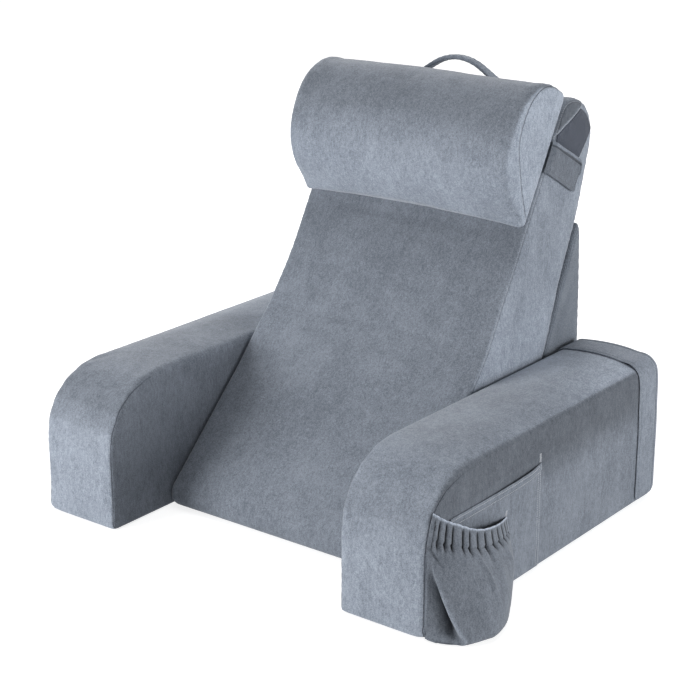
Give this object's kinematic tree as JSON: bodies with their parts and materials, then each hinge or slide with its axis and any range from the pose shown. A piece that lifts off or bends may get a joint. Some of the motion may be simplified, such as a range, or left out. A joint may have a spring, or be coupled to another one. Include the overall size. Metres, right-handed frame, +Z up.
{
  "type": "reading pillow with arms",
  "caption": "Floor-standing reading pillow: a leaning cushion on a rear wedge, padded arms at its sides, a half-round head cushion, a carry handle and pockets on one arm.",
  "frame": {"origin": "on the floor under the back cushion, midway between the arms and 325 mm behind their front faces", "axes": "+X to the right of someone facing the pillow's front, +Y to its back, +Z up"},
  "size_m": [0.8307, 0.6797, 0.6872],
  "materials": {
    "suede_cloth": "slate blue-grey brushed suede cloth with a short, slightly mottled nap",
    "side_knit": "slate grey coarse warp knit, matte",
    "loop_fastener": "dark grey fuzzy loop tape, matte"
  },
  "bodies": {
    "root": {"back_cushion": "suede_cloth", "headrest": "suede_cloth", "arm_left": "suede_cloth", "arm_right": "suede_cloth", "arm_band_left": "suede_cloth", "arm_band_right": "suede_cloth", "headrest_tab_left": "suede_cloth", "headrest_tab_right": "suede_cloth", "carry_handle": "suede_cloth", "flat_pocket": "suede_cloth", "bottle_pocket": "suede_cloth", "rear_wedge": "side_knit", "loop_patch_left": "loop_fastener", "loop_patch_right": "loop_fastener"}
  },
  "joints": []
}
